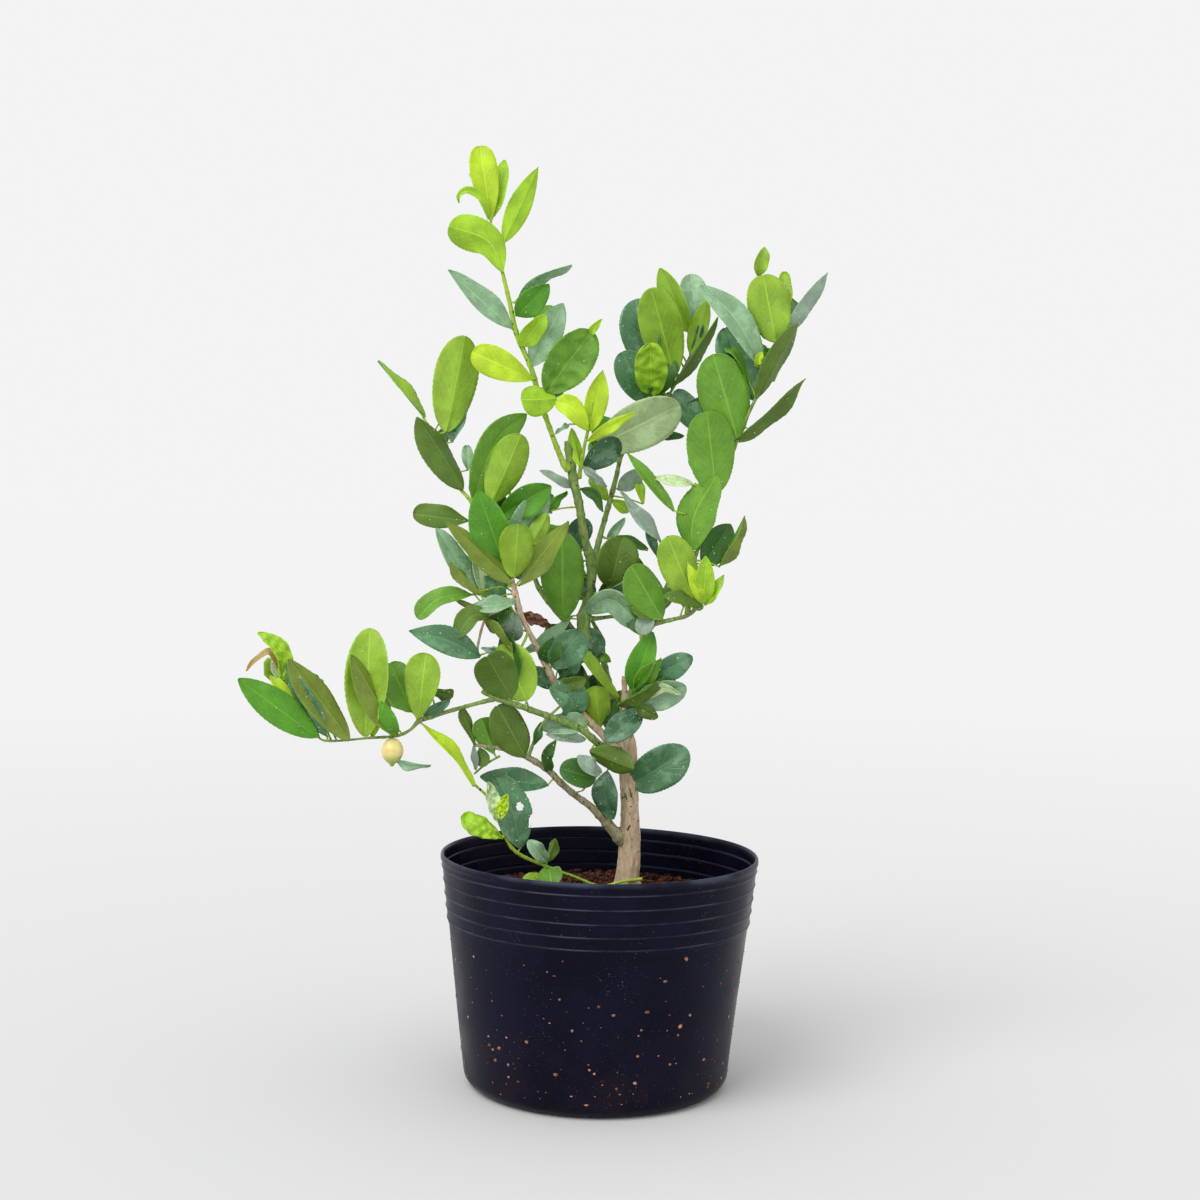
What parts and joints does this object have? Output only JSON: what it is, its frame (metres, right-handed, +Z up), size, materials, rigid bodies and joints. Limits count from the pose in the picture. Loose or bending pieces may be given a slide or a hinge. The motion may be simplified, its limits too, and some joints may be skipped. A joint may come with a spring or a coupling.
{
  "type": "potted lemon tree",
  "caption": "Young lemon tree in a round soft black nursery pot, with a short bare trunk, a few spreading boughs and open clusters of oval leaves.",
  "frame": {"origin": "centre of the pot's flat underside", "axes": "+Z up, along the trunk; the side seen in the picture faces -Y, with +X to its right"},
  "size_m": [0.5212, 0.302, 0.8777],
  "materials": {
    "pot_plastic": "satin",
    "potting_mix": "matte",
    "bark": "matte",
    "green_bark": "matte",
    "leaf": "satin",
    "young_leaf": "satin"
  },
  "bodies": {
    "root": {"pot": "pot_plastic", "soil": "potting_mix", "trunk": "bark", "cut_leader_stub": "bark", "low_left_bough": "bark", "long_left_bough": "green_bark", "left_bough": "bark", "centre_bough": "green_bark", "back_bough": "green_bark", "right_bough": "green_bark", "right_twig": "green_bark", "back_left_bough": "green_bark", "back_right_bough": "green_bark", "centre_right_shoot": "green_bark", "leader_shoot": "green_bark", "right_upper_shoot": "green_bark", "low_shoot": "green_bark", "leader_top_leaves": "young_leaf", "leader_leaves": "leaf", "lime_shoot_leaves": "young_leaf", "left_top_leaves": "leaf", "left_hub_leaves": "leaf", "left_under_leaves": "leaf", "left_hanging_leaves": "leaf", "long_left_leaves": "leaf", "low_left_leaves": "leaf", "low_shoot_leaves": "leaf", "low_shoot_tip_leaf": "young_leaf", "lower_centre_leaves": "leaf", "lower_right_leaves": "leaf", "low_right_leaves": "leaf", "centre_leaves": "leaf", "broad_pale_leaves": "leaf", "inner_top_leaves": "leaf", "right_lower_leaves": "leaf", "right_middle_leaves": "leaf", "right_top_leaves": "leaf", "back_low_leaves": "leaf", "back_right_leaves": "leaf", "back_left_leaves": "leaf"}
  },
  "joints": []
}
